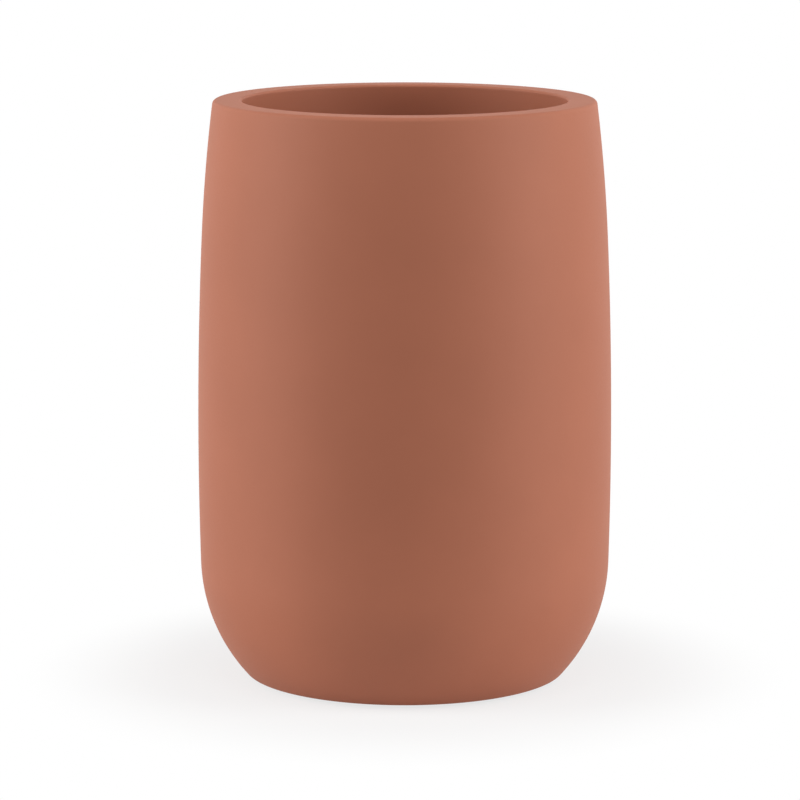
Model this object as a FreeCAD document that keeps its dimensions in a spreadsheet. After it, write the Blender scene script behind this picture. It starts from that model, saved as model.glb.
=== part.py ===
import FreeCAD, Part
import math
import os
import Sketcher

# A bathroom tumbler: a thick cast cup standing on a foam pad that is stuck into a recess in its base.
# Sizes are in millimetres. Each piece is drawn upwards from its own underside, then placed on the axis.

SIZES = {
    # the outside of the cup, heights measured from its base
    "body_height": 109.4,
    "belly_diameter": 78.5,
    "belly_height": 43.9,
    "belly_curve": 842.0,
    "shoulder_height": 21.3,
    "shoulder_curve": 32.85,
    "neck_drop": 25.7,
    "neck_curve": 320.0,
    # the inside of the cup
    "wall": 5.45,
    "floor_thickness": 7.0,
    # rounded edges
    "rim_outer_round": 0.85,
    "rim_inner_round": 0.5,
    "base_round": 0.8,
    "floor_round": 6.0,
    # the foot ring, and the pad inside it
    "foot_width": 3.6,
    "pad_clearance": 0.5,
    "pad_thickness": 1.5,
    "adhesive_thickness": 0.15,
    "pad_proud": 0.6,
}

# Sizes that follow from the ones above
BELLY_RADIUS = "sizes.belly_diameter / 2"
NECK_HEIGHT = "(sizes.body_height - sizes.neck_drop)"
RECESS_RADIUS = "outer_section.Constraints.flat_radius / 1 mm - sizes.foot_width"
RECESS_DEPTH = "sizes.pad_thickness + sizes.adhesive_thickness - sizes.pad_proud"
PAD_RADIUS = RECESS_RADIUS + " - sizes.pad_clearance"

# A cut that works takes away at least this volume
LEAST_CUT = 1.0

# Places in a sketch: its origin, its upright axis, and the points of a line or an arc
ORIGIN = -1
UPRIGHT_AXIS = -2
START, END, CENTRE = range(1, 4)

os.makedirs("parts", exist_ok=True)
doc = FreeCAD.newDocument("tumbler")
sheet = doc.addObject("Spreadsheet::Sheet", "sizes")
for row, (size_name, size) in enumerate(SIZES.items(), start=1):
    sheet.set("A%d" % row, size_name)
    sheet.set("B%d" % row, str(size))
    sheet.setAlias("B%d" % row, size_name)
doc.recompute()


def value_of(expression):
    return float(sheet.evalExpression(expression))


def new_body(label, height):
    body = doc.addObject("PartDesign::Body", label)
    body.Label = label
    body.setExpression(".Placement.Base.z", height)
    return body


def new_sketch(body, name, plane_role):
    sketch = body.newObject("Sketcher::SketchObject", name)
    plane = next(item for item in body.Origin.OriginFeatures if item.Role == plane_role)
    sketch.AttachmentSupport = [(plane, "")]
    sketch.MapMode = "FlatFace"
    return sketch


def drive(sketch, name, expression, kind, *places):
    """Add a dimension to the sketch and tie it to the sheet."""
    number = sketch.addConstraint(Sketcher.Constraint(kind, *places, value_of(expression)))
    sketch.renameConstraint(number, name)
    sketch.setExpression("Constraints." + name, expression)


def arc(centre, radius, first_angle, last_angle):
    circle = Part.Circle(centre, FreeCAD.Vector(0, 0, 1), radius)
    return Part.ArcOfCircle(circle, first_angle, last_angle)


def along(angle, length):
    return FreeCAD.Vector(math.cos(angle), math.sin(angle), 0) * length


def draw_section(sketch, low, inset, low_round, rim_round, flared):
    """Half of the cup's section, from the height low up to the rim, set in from the outside by inset.

    Three arcs run smoothly into each other: a round shoulder, the long belly and a tighter neck.
    The bottom corner is rounded, and the rim's edge is rounded inwards, or outwards where it is flared.
    """
    belly_curve = "sizes.belly_curve - %s" % inset
    shoulder_curve = "sizes.shoulder_curve - %s" % inset
    neck_curve = "sizes.neck_curve - %s" % inset
    kept = "(%s) / sizes.belly_curve" % belly_curve
    shoulder_end = "sizes.belly_height + (sizes.shoulder_height - sizes.belly_height) * %s" % kept
    neck_start = "sizes.belly_height + (%s - sizes.belly_height) * %s" % (NECK_HEIGHT, kept)
    centre_offset = "sizes.belly_curve - " + BELLY_RADIUS

    # First places for the arcs, where the dimensions will hold them
    belly_radius = value_of(belly_curve)
    belly_centre = FreeCAD.Vector(-value_of(centre_offset), value_of("sizes.belly_height"), 0)
    shoulder_angle = math.asin((value_of(shoulder_end) - belly_centre.y) / belly_radius)
    neck_angle = math.asin((value_of(neck_start) - belly_centre.y) / belly_radius)

    shoulder_radius = value_of(shoulder_curve)
    shoulder_centre = belly_centre + along(shoulder_angle, belly_radius - shoulder_radius)
    low_radius = value_of(low_round)
    low_reach = shoulder_radius - low_radius
    low_angle = math.asin((value_of(low) + low_radius - shoulder_centre.y) / low_reach)
    low_centre = shoulder_centre + along(low_angle, low_reach)

    neck_radius = value_of(neck_curve)
    neck_centre = belly_centre + along(neck_angle, belly_radius - neck_radius)
    rim_radius = value_of(rim_round)
    rim_reach = neck_radius + rim_radius if flared else neck_radius - rim_radius
    rim_angle = math.asin((value_of("sizes.body_height") - rim_radius - neck_centre.y) / rim_reach)
    rim_centre = neck_centre + along(rim_angle, rim_reach)
    rim_angles = (math.pi / 2, math.pi + rim_angle) if flared else (rim_angle, math.pi / 2)

    low_point = low_centre - FreeCAD.Vector(0, low_radius, 0)
    rim_point = rim_centre + FreeCAD.Vector(0, rim_radius, 0)
    axis_low = FreeCAD.Vector(0, low_point.y, 0)
    axis_high = FreeCAD.Vector(0, rim_point.y, 0)

    base = sketch.addGeometry(Part.LineSegment(axis_low, low_point))
    corner = sketch.addGeometry(arc(low_centre, low_radius, -math.pi / 2, low_angle))
    shoulder = sketch.addGeometry(arc(shoulder_centre, shoulder_radius, low_angle, shoulder_angle))
    belly = sketch.addGeometry(arc(belly_centre, belly_radius, shoulder_angle, neck_angle))
    neck = sketch.addGeometry(arc(neck_centre, neck_radius, neck_angle, rim_angle))
    edge = sketch.addGeometry(arc(rim_centre, rim_radius, *rim_angles))
    rim = sketch.addGeometry(Part.LineSegment(rim_point, axis_high))
    axis = sketch.addGeometry(Part.LineSegment(axis_high, axis_low))

    edge_low, edge_high = (END, START) if flared else (START, END)
    sketch.addConstraint([
        Sketcher.Constraint("Tangent", base, END, corner, START),
        Sketcher.Constraint("Tangent", corner, END, shoulder, START),
        Sketcher.Constraint("Tangent", shoulder, END, belly, START),
        Sketcher.Constraint("Tangent", belly, END, neck, START),
        Sketcher.Constraint("Tangent", neck, END, edge, edge_low),
        Sketcher.Constraint("Tangent", edge, edge_high, rim, START),
        Sketcher.Constraint("Coincident", rim, END, axis, START),
        Sketcher.Constraint("Coincident", axis, END, base, START),
        Sketcher.Constraint("PointOnObject", axis, START, UPRIGHT_AXIS),
        Sketcher.Constraint("Vertical", axis),
        Sketcher.Constraint("Horizontal", base),
        Sketcher.Constraint("Horizontal", rim),
    ])
    drive(sketch, "belly_curve", belly_curve, "Radius", belly)
    drive(sketch, "belly_centre_offset", centre_offset, "DistanceX", belly, CENTRE, ORIGIN, START)
    drive(sketch, "belly_height", "sizes.belly_height", "DistanceY", ORIGIN, START, belly, CENTRE)
    drive(sketch, "shoulder_curve", shoulder_curve, "Radius", shoulder)
    drive(sketch, "shoulder_height", shoulder_end, "DistanceY", ORIGIN, START, shoulder, END)
    drive(sketch, "neck_curve", neck_curve, "Radius", neck)
    drive(sketch, "neck_height", neck_start, "DistanceY", ORIGIN, START, neck, START)
    drive(sketch, "low_height", low, "DistanceY", ORIGIN, START, base, START)
    drive(sketch, "low_round", low_round, "Radius", corner)
    drive(sketch, "rim_height", "sizes.body_height", "DistanceY", ORIGIN, START, rim, START)
    drive(sketch, "rim_round", rim_round, "Radius", edge)

    # The flat at the bottom is as wide as the arcs leave it, and is measured for other pieces to follow
    measured = sketch.addConstraint(Sketcher.Constraint("DistanceX", ORIGIN, START, base, END, low_point.x))
    sketch.setDriving(measured, False)
    sketch.renameConstraint(measured, "flat_radius")
    doc.recompute()


def draw_circle(sketch, radius):
    circle = sketch.addGeometry(
        Part.Circle(FreeCAD.Vector(0, 0, 0), FreeCAD.Vector(0, 0, 1), value_of(radius)))
    sketch.addConstraint(Sketcher.Constraint("Coincident", circle, CENTRE, ORIGIN, START))
    drive(sketch, "radius", radius, "Radius", circle)


def turn(body, kind, name, sketch):
    """Sweep a section once round the upright axis."""
    feature = body.newObject(kind, name)
    feature.Profile = (sketch, [""])
    feature.ReferenceAxis = (sketch, ["V_Axis"])
    feature.Angle = 360
    doc.recompute()
    return feature


def new_disc(label, height, thickness):
    body = new_body(label, height)
    sketch = new_sketch(body, label + "_outline", "XY_Plane")
    draw_circle(sketch, PAD_RADIUS)
    disc = body.newObject("PartDesign::Pad", label + "_disc")
    disc.Profile = (sketch, [""])
    disc.setExpression("Length", thickness)
    body.Tip = disc
    doc.recompute()
    return body


# The cup: turned solid, hollowed to an even wall, then recessed for the pad
cup = new_body("tumbler_body", "sizes.pad_proud")
outer_section = new_sketch(cup, "outer_section", "XZ_Plane")
draw_section(outer_section, "0", "0", "sizes.base_round", "sizes.rim_outer_round", False)
solid = turn(cup, "PartDesign::Revolution", "outside", outer_section)

inner_section = new_sketch(cup, "inner_section", "XZ_Plane")
draw_section(
    inner_section, "sizes.floor_thickness", "sizes.wall", "sizes.floor_round", "sizes.rim_inner_round", True)
hollow = turn(cup, "PartDesign::Groove", "inside", inner_section)

recess_outline = new_sketch(cup, "recess_outline", "XY_Plane")
draw_circle(recess_outline, RECESS_RADIUS)
recess = cup.newObject("PartDesign::Pocket", "pad_recess")
recess.Profile = (recess_outline, [""])
recess.Reversed = True
recess.setExpression("Length", RECESS_DEPTH)
cup.Tip = recess
doc.recompute()

# The foam pad and the double-sided film that holds it are cut to the same circle
pad = new_disc("base_pad", "0", "sizes.pad_thickness")
film = new_disc("pad_adhesive", "sizes.pad_thickness", "sizes.adhesive_thickness")

for before, cut in ((solid, hollow), (hollow, recess)):
    if not cut.Shape.Volume < before.Shape.Volume - LEAST_CUT:
        raise RuntimeError("%s cuts nothing" % cut.Name)
for item in doc.Objects:
    if "Invalid" in item.State or "Error" in item.State:
        raise RuntimeError("%s is in state %s" % (item.Name, item.State))
for body in (cup, pad, film):
    if body.Shape.isNull() or not body.Shape.isValid():
        raise RuntimeError("%s has no valid shape" % body.Label)
for body in (cup, pad, film):
    body.Shape.exportStep("parts/%s.step" % body.Label)
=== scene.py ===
import math

import bmesh
import bpy
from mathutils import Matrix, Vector


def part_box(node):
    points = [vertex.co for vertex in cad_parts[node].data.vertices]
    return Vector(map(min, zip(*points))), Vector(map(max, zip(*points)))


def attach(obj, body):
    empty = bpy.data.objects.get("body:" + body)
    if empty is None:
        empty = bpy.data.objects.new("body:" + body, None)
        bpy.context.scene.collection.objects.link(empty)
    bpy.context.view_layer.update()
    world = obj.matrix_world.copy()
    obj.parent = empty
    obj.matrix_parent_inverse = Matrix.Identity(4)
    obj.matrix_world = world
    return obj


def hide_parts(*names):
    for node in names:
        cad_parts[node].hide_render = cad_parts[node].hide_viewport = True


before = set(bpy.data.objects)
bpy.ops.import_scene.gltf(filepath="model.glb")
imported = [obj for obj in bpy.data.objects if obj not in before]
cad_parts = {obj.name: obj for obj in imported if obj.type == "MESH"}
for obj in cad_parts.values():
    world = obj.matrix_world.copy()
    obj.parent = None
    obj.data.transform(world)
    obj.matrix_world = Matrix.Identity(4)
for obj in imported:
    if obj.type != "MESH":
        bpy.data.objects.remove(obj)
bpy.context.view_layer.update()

# A bathroom tumbler on a white studio floor. Lengths are in metres, in the frame of the part.

MM = 0.001

# The cup's section, heights measured from its base
cup_low, cup_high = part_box("tumbler_body")
CUP_BASE = cup_low.z
CUP_HEIGHT = cup_high.z - cup_low.z
BELLY_RADIUS = 39.25 * MM
BELLY_HEIGHT = 43.9 * MM
BELLY_CURVE = 842.0 * MM
SHOULDER_HEIGHT = 21.3 * MM
SHOULDER_CURVE = 32.85 * MM
NECK_DROP = 25.7 * MM
NECK_CURVE = 320.0 * MM
WALL = 5.45 * MM
FLOOR_THICKNESS = 7.0 * MM
RIM_OUTER_ROUND = 0.85 * MM
RIM_INNER_ROUND = 0.5 * MM
BASE_ROUND = 0.8 * MM
FLOOR_ROUND = 6.0 * MM
FOOT_WIDTH = 3.6 * MM

# The pad, and the film above it, which lies against the recess's roof
pad_low, pad_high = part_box("base_pad")
film_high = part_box("pad_adhesive")[1]
RECESS_ROOF = film_high.z
PAD_RADIUS = pad_high.x
PAD_THICKNESS = pad_high.z - pad_low.z
PAD_EDGE_ROUND = 0.25 * MM
PAD_EDGE_HOLLOW = 0.12 * MM

# How finely the turned surfaces are divided
TURN_STEPS = 192
PAD_SIDE_STEPS = 8
ROUND_STEP = math.radians(9)
CURVE_STEP = 2.2 * MM
SHOULDER_STEP = CURVE_STEP / 2
FLAT_STEP = 1.5 * MM
SUPPORT = 0.06 * MM
SHARP_ANGLE = math.radians(50)
ON_AXIS = 1e-9

# The cup's finish: two close tones in soft clouds, and a fine grain
RESIN_TONES = ((0.41, 0.143, 0.082), (0.43, 0.15, 0.086))
RESIN_CLOUD = 18 * MM
RESIN_GRAIN = 0.35 * MM
RESIN_GRAIN_DEPTH = 0.012 * MM
RESIN_GRAIN_STRENGTH = 0.25
RESIN_ROUGHNESS = (0.58, 0.65)
RESIN_SPECULAR = 0.25

# The foam: two dark tones in patches, and burst cells
FOAM_TONES = ((0.04, 0.038, 0.036), (0.06, 0.058, 0.055))
FOAM_PATCH = 3 * MM
FOAM_CELL = 0.4 * MM
FOAM_CELL_DEPTH = 0.08 * MM
FOAM_CELL_STRENGTH = 0.6
FOAM_ROUGHNESS = 0.9

# The film: two pale tones in small patches
FILM_TONES = ((0.72, 0.68, 0.56), (0.78, 0.75, 0.66))
FILM_PATCH = 1.2 * MM
FILM_ROUGHNESS = (0.3, 0.42)

# Most of a noise's values lie in this range
NOISE_MIDDLE = (0.3, 0.7)

WHITE = (1, 1, 1, 1)

# The camera that fits the photograph's outline; the lens and the sensor are in millimetres
CAMERA_DISTANCE = 735.9 * MM
CAMERA_HEIGHT = 178.9 * MM
AIM_HEIGHT = 52.7 * MM
CAMERA_SIDE = -0.9 * MM
LENS = 176.7
SENSOR = 36.0

# Two tall softboxes stand left and right, a little nearer the camera than the object.
# The right-hand one is turned nearer the camera than the left-hand one.
TALL_WIDTH = 0.4
TALL_HEIGHT = 0.78
TALL_DISTANCE = 0.75
TALL_POWER = 5.25
LEFT_TURN = math.radians(78)
RIGHT_TURN = math.radians(73)

# Two more of the same size stand behind the object and are weak
BACK_TURN = math.radians(135)
BACK_POWER = 0.5

# A smaller one hangs high in front, and lights the rim and the inside
TOP_SIZE = 0.45
TOP_DISTANCE = 0.85
TOP_RISE = math.radians(65)
TOP_POWER = 1.45

# The room adds an even light of this strength
ROOM_LIGHT = 0.29

# The floor is a pale table top, just under the pad. Its shadow fades out between two distances from the
# middle of the object, and beyond them it shows as plain white, so that its front edge doesn't show.
FLOOR_COLOUR = (0.75, 0.75, 0.75, 1)
FLOOR_REACH = 4.0
FLOOR_FRONT = 0.075
FLOOR_SHADE_FROM = 0.04
FLOOR_SHADE_TO = 0.075
FLOOR_WHITENING = 0.75
FLOOR_DROP = 0.1 * MM


def polar(centre, radius, angle):
    return Vector((centre.x + radius * math.cos(angle), centre.y + radius * math.sin(angle)))


def arc_points(centre, radius, first, last, step):
    """Points along an arc, both ends included, from one angle to another."""
    count = max(2, math.ceil(abs(last - first) / step))
    return [polar(centre, radius, first + (last - first) * i / count) for i in range(count + 1)]


def flat_points(start, end):
    """Points along a straight stretch, with one close to each end to hold its shading flat."""
    length = (end - start).length
    count = max(1, math.ceil((length - 2 * SUPPORT) / FLAT_STEP))
    inner = [SUPPORT + (length - 2 * SUPPORT) * i / count for i in range(count + 1)]
    return [start] + [start.lerp(end, along / length) for along in inner] + [end]


def wall_points(low, inset, low_round, rim_round, flared):
    """The cup's section from its bottom flat up to its rim, set in from the outside by inset.

    The rim's edge is rounded inwards, or outwards where it is flared.
    """
    belly_radius = BELLY_CURVE - inset
    shoulder_radius = SHOULDER_CURVE - inset
    neck_radius = NECK_CURVE - inset
    belly_centre = Vector((BELLY_RADIUS - BELLY_CURVE, BELLY_HEIGHT))
    shoulder_angle = math.asin((SHOULDER_HEIGHT - BELLY_HEIGHT) / BELLY_CURVE)
    neck_angle = math.asin((CUP_HEIGHT - NECK_DROP - BELLY_HEIGHT) / BELLY_CURVE)
    shoulder_centre = polar(belly_centre, BELLY_CURVE - SHOULDER_CURVE, shoulder_angle)
    neck_centre = polar(belly_centre, BELLY_CURVE - NECK_CURVE, neck_angle)

    low_reach = shoulder_radius - low_round
    low_angle = math.asin((low + low_round - shoulder_centre.y) / low_reach)
    low_centre = polar(shoulder_centre, low_reach, low_angle)
    rim_reach = neck_radius + rim_round if flared else neck_radius - rim_round
    rim_angle = math.asin((CUP_HEIGHT - rim_round - neck_centre.y) / rim_reach)
    rim_centre = polar(neck_centre, rim_reach, rim_angle)
    rim_start = math.pi + rim_angle if flared else rim_angle

    points = arc_points(low_centre, low_round, -math.pi / 2, low_angle, ROUND_STEP)
    for centre, radius, first, last, step in (
            (shoulder_centre, shoulder_radius, low_angle, shoulder_angle, SHOULDER_STEP / shoulder_radius),
            (belly_centre, belly_radius, shoulder_angle, neck_angle, CURVE_STEP / belly_radius),
            (neck_centre, neck_radius, neck_angle, rim_angle, CURVE_STEP / neck_radius),
            (rim_centre, rim_round, rim_start, math.pi / 2, ROUND_STEP)):
        points += arc_points(centre, radius, first, last, step)[1:]
    return points


def turned(name, section, height):
    """A closed mesh, turned round the upright axis from a section that starts and ends on the axis."""
    mesh = bpy.data.meshes.new(name)
    work = bmesh.new()
    angles = [2 * math.pi * i / TURN_STEPS for i in range(TURN_STEPS)]
    rings = []
    for point in section:
        if point.x < ON_AXIS:
            rings.append([work.verts.new((0, 0, height + point.y))])
            continue
        rings.append([
            work.verts.new((point.x * math.cos(a), point.x * math.sin(a), height + point.y)) for a in angles])
    for below, above in zip(rings, rings[1:]):
        for i in range(TURN_STEPS):
            j = (i + 1) % TURN_STEPS
            corners = [
                below[i % len(below)], below[j % len(below)],
                above[j % len(above)], above[i % len(above)]]
            # On the axis two corners are the same point, and the face is a triangle
            work.faces.new(list(dict.fromkeys(corners)))
    bmesh.ops.recalc_face_normals(work, faces=work.faces)
    work.to_mesh(mesh)
    work.free()
    mesh.polygons.foreach_set("use_smooth", [True] * len(mesh.polygons))
    mesh.set_sharp_from_angle(angle=SHARP_ANGLE)
    piece = bpy.data.objects.new(name, mesh)
    bpy.context.scene.collection.objects.link(piece)
    return piece


def cup_section():
    """The cup's whole section, from the recess's roof round the outside and the inside to its floor."""
    outside = wall_points(0, 0, BASE_ROUND, RIM_OUTER_ROUND, False)
    inside = wall_points(FLOOR_THICKNESS, WALL, FLOOR_ROUND, RIM_INNER_ROUND, True)
    recess_radius = outside[0].x - FOOT_WIDTH
    recess_depth = RECESS_ROOF - CUP_BASE
    section = flat_points(Vector((0, recess_depth)), Vector((recess_radius, recess_depth)))
    section += flat_points(Vector((recess_radius, recess_depth)), Vector((recess_radius, 0)))[1:]
    section += flat_points(Vector((recess_radius, 0)), outside[0])[1:]
    section += outside[1:]
    section += flat_points(outside[-1], inside[-1])[1:]
    section += inside[-2::-1]
    section += flat_points(inside[0], Vector((0, FLOOR_THICKNESS)))[1:]
    return section


def pad_section():
    """A die-cut foam disc: a soft lower edge, and a side drawn in a little where the blade squeezed it."""
    round_centre = Vector((PAD_RADIUS - PAD_EDGE_ROUND, PAD_EDGE_ROUND))
    section = flat_points(Vector((0, 0)), Vector((round_centre.x, 0)))
    section += arc_points(round_centre, PAD_EDGE_ROUND, -math.pi / 2, 0, ROUND_STEP)[1:]
    side_height = PAD_THICKNESS - PAD_EDGE_ROUND
    for i in range(1, PAD_SIDE_STEPS + 1):
        share = i / PAD_SIDE_STEPS
        hollow = PAD_EDGE_HOLLOW * math.sin(math.pi * share)
        section.append(Vector((PAD_RADIUS - hollow, PAD_EDGE_ROUND + side_height * share)))
    section += flat_points(Vector((PAD_RADIUS, PAD_THICKNESS)), Vector((0, PAD_THICKNESS)))[1:]
    return section


class Shader:
    """The node tree of a material or a world, with short ways to add nodes and links."""

    def __init__(self, owner):
        owner.use_nodes = True
        self.tree = owner.node_tree
        self.tree.nodes.clear()

    def add(self, kind, **settings):
        node = self.tree.nodes.new(kind)
        for name, value in settings.items():
            setattr(node, name, value)
        return node

    def link(self, source, target):
        self.tree.links.new(source, target)

    def mix(self, share, first, second):
        """One shader turning into another as the share goes from 0 to 1."""
        node = self.add("ShaderNodeMixShader")
        for source, target in zip((share, first, second), node.inputs):
            self.link(source, target)
        return node.outputs["Shader"]


def solid_material(name):
    """A material with one surface shader, and the object's own coordinates to lay noise on it."""
    material = bpy.data.materials.new(name)
    shader = Shader(material)
    position = shader.add("ShaderNodeTexCoord").outputs["Object"]
    surface = shader.add("ShaderNodeBsdfPrincipled")
    shader.link(surface.outputs["BSDF"], shader.add("ShaderNodeOutputMaterial").inputs["Surface"])
    return material, shader, position, surface


def noise(shader, position, size, detail):
    """Noise whose lumps are about the given size."""
    node = shader.add("ShaderNodeTexNoise")
    node.inputs["Scale"].default_value = 1 / size
    node.inputs["Detail"].default_value = detail
    shader.link(position, node.inputs["Vector"])
    return node.outputs["Fac"]


def spread(shader, source, low, high):
    """Spread a noise's middle values over a range."""
    node = shader.add("ShaderNodeMapRange")
    node.inputs["From Min"].default_value, node.inputs["From Max"].default_value = NOISE_MIDDLE
    node.inputs["To Min"].default_value = low
    node.inputs["To Max"].default_value = high
    shader.link(source, node.inputs["Value"])
    return node.outputs["Result"]


def two_tone(shader, surface, share, tones):
    """Colour a surface with two tones, mixed by a share from 0 to 1."""
    node = shader.add("ShaderNodeMix", data_type="RGBA")
    colour_inputs = [item for item in node.inputs if item.type == "RGBA"]
    for colour_input, tone in zip(colour_inputs, tones):
        colour_input.default_value = (*tone, 1)
    shader.link(share, node.inputs[0])
    colour = next(item for item in node.outputs if item.type == "RGBA")
    shader.link(colour, surface.inputs["Base Color"])


def bump(shader, surface, height, depth, strength):
    node = shader.add("ShaderNodeBump")
    node.inputs["Strength"].default_value = strength
    node.inputs["Distance"].default_value = depth
    shader.link(height, node.inputs["Height"])
    shader.link(node.outputs["Normal"], surface.inputs["Normal"])


def cast_resin():
    """Stone-filled resin with a sprayed matte finish: even colour, and a fine soft grain."""
    material, shader, position, surface = solid_material("cast_resin")
    surface.inputs["Specular IOR Level"].default_value = RESIN_SPECULAR
    clouds = spread(shader, noise(shader, position, RESIN_CLOUD, detail=3), 0, 1)
    two_tone(shader, surface, clouds, RESIN_TONES)
    grain = noise(shader, position, RESIN_GRAIN, detail=2)
    shader.link(spread(shader, grain, *RESIN_ROUGHNESS), surface.inputs["Roughness"])
    bump(shader, surface, grain, RESIN_GRAIN_DEPTH, RESIN_GRAIN_STRENGTH)
    return material


def foam():
    """Dark closed-cell foam: tiny burst cells over a dull, uneven skin."""
    material, shader, position, surface = solid_material("foam")
    surface.inputs["Roughness"].default_value = FOAM_ROUGHNESS
    patches = spread(shader, noise(shader, position, FOAM_PATCH, detail=4), 0, 1)
    two_tone(shader, surface, patches, FOAM_TONES)
    cells = shader.add("ShaderNodeTexVoronoi")
    cells.inputs["Scale"].default_value = 1 / FOAM_CELL
    shader.link(position, cells.inputs["Vector"])
    bump(shader, surface, cells.outputs["Distance"], FOAM_CELL_DEPTH, FOAM_CELL_STRENGTH)
    return material


def adhesive_film():
    """Yellowish double-sided film, with faint patches in its coating."""
    material, shader, position, surface = solid_material("adhesive_film")
    patches = spread(shader, noise(shader, position, FILM_PATCH, detail=3), 0, 1)
    two_tone(shader, surface, patches, FILM_TONES)
    shader.link(spread(shader, patches, *FILM_ROUGHNESS), surface.inputs["Roughness"])
    return material


def is_seen(shader):
    """1 for rays that show the surface itself: from the camera, through something clear, or in a gloss."""
    path = shader.add("ShaderNodeLightPath")
    seen = path.outputs["Is Camera Ray"]
    for kind in ("Is Transmission Ray", "Is Glossy Ray"):
        either = shader.add("ShaderNodeMath", operation="MAXIMUM")
        shader.link(seen, either.inputs[0])
        shader.link(path.outputs[kind], either.inputs[1])
        seen = either.outputs["Value"]
    return seen


def white_floor():
    """A pale floor. Away from the object it shows as plain white, and close by it keeps the shadow.

    From below it is clear, so that the object's underside can be looked at.
    """
    material = bpy.data.materials.new("white_floor")
    shader = Shader(material)
    distance = shader.add("ShaderNodeVectorMath", operation="LENGTH")
    shader.link(shader.add("ShaderNodeTexCoord").outputs["Object"], distance.inputs[0])
    away = shader.add("ShaderNodeMapRange", interpolation_type="SMOOTHSTEP")
    away.inputs["From Min"].default_value = FLOOR_SHADE_FROM
    away.inputs["From Max"].default_value = FLOOR_SHADE_TO
    away.inputs["To Min"].default_value = FLOOR_WHITENING
    shader.link(distance.outputs["Value"], away.inputs["Value"])
    share = shader.add("ShaderNodeMath", operation="MULTIPLY")
    shader.link(away.outputs["Result"], share.inputs[0])
    shader.link(is_seen(shader), share.inputs[1])

    matte = shader.add("ShaderNodeBsdfDiffuse")
    matte.inputs["Color"].default_value = FLOOR_COLOUR
    white = shader.add("ShaderNodeEmission").outputs["Emission"]
    upper_side = shader.mix(share.outputs["Value"], matte.outputs["BSDF"], white)
    from_below = shader.add("ShaderNodeNewGeometry").outputs["Backfacing"]
    clear = shader.add("ShaderNodeBsdfTransparent").outputs["BSDF"]
    one_sided = shader.mix(from_below, upper_side, clear)
    shader.link(one_sided, shader.add("ShaderNodeOutputMaterial").inputs["Surface"])
    return material


def white_room():
    """White wherever it is seen, and a dim even light on the object."""
    world = bpy.data.worlds.new("white_room")
    bpy.context.scene.world = world
    shader = Shader(world)
    light = shader.add("ShaderNodeBackground")
    light.inputs["Color"].default_value = WHITE
    light.inputs["Strength"].default_value = ROOM_LIGHT
    white = shader.add("ShaderNodeBackground")
    white.inputs["Color"].default_value = WHITE
    mixed = shader.mix(is_seen(shader), light.outputs["Background"], white.outputs["Background"])
    shader.link(mixed, shader.add("ShaderNodeOutputWorld").inputs["Surface"])


def place(item, position, target):
    """Put a lamp or camera somewhere, looking at a point."""
    item.location = position
    item.rotation_euler = (target - position).to_track_quat("-Z", "Y").to_euler()
    bpy.context.scene.collection.objects.link(item)


def softbox(name, width, height, power, target, distance, turn, rise):
    """A softbox that faces a point, turned round it to the right of the camera's side and raised."""
    lamp = bpy.data.lights.new(name, "AREA")
    lamp.shape = "RECTANGLE"
    lamp.size = width
    lamp.size_y = height
    lamp.energy = power
    level = distance * math.cos(rise)
    offset = Vector((level * math.sin(turn), -level * math.cos(turn), distance * math.sin(rise)))
    place(bpy.data.objects.new(name, lamp), target + offset, target)


def studio_lights():
    tall_middle = Vector((0, 0, TALL_HEIGHT / 2))
    for name, turn, power in (
            ("tall_left", -LEFT_TURN, TALL_POWER), ("tall_right", RIGHT_TURN, TALL_POWER),
            ("back_left", -BACK_TURN, BACK_POWER), ("back_right", BACK_TURN, BACK_POWER)):
        softbox(name, TALL_WIDTH, TALL_HEIGHT, power, tall_middle, TALL_DISTANCE, turn, 0)
    cup_middle = Vector((0, 0, cup_high.z / 2))
    softbox("top", TOP_SIZE, TOP_SIZE, TOP_POWER, cup_middle, TOP_DISTANCE, 0, TOP_RISE)


def photo_camera():
    lens = bpy.data.cameras.new("photo_camera")
    lens.lens = LENS
    lens.sensor_width = SENSOR
    camera = bpy.data.objects.new("photo_camera", lens)
    position = Vector((CAMERA_SIDE, -CAMERA_DISTANCE, CAMERA_HEIGHT))
    place(camera, position, Vector((CAMERA_SIDE, 0, AIM_HEIGHT)))
    bpy.context.scene.camera = camera


def studio_floor():
    mesh = bpy.data.meshes.new("studio_floor")
    corners = [
        (-FLOOR_REACH, -FLOOR_FRONT, -FLOOR_DROP), (FLOOR_REACH, -FLOOR_FRONT, -FLOOR_DROP),
        (FLOOR_REACH, FLOOR_REACH, -FLOOR_DROP), (-FLOOR_REACH, FLOOR_REACH, -FLOOR_DROP)]
    mesh.from_pydata(corners, [], [range(len(corners))])
    mesh.materials.append(white_floor())
    floor = bpy.data.objects.new("studio_floor", mesh)
    bpy.context.scene.collection.objects.link(floor)


# The object
cup = turned("cup", cup_section(), CUP_BASE)
cup.data.materials.append(cast_resin())
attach(cup, "root")
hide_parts("tumbler_body")

pad = turned("foam_pad", pad_section(), pad_low.z)
pad.data.materials.append(foam())
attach(pad, "root")
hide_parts("base_pad")

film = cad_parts["pad_adhesive"]
film.data.materials.clear()
film.data.materials.append(adhesive_film())

# The studio
studio_floor()
white_room()
studio_lights()
photo_camera()
bpy.context.scene.view_settings.view_transform = "Standard"
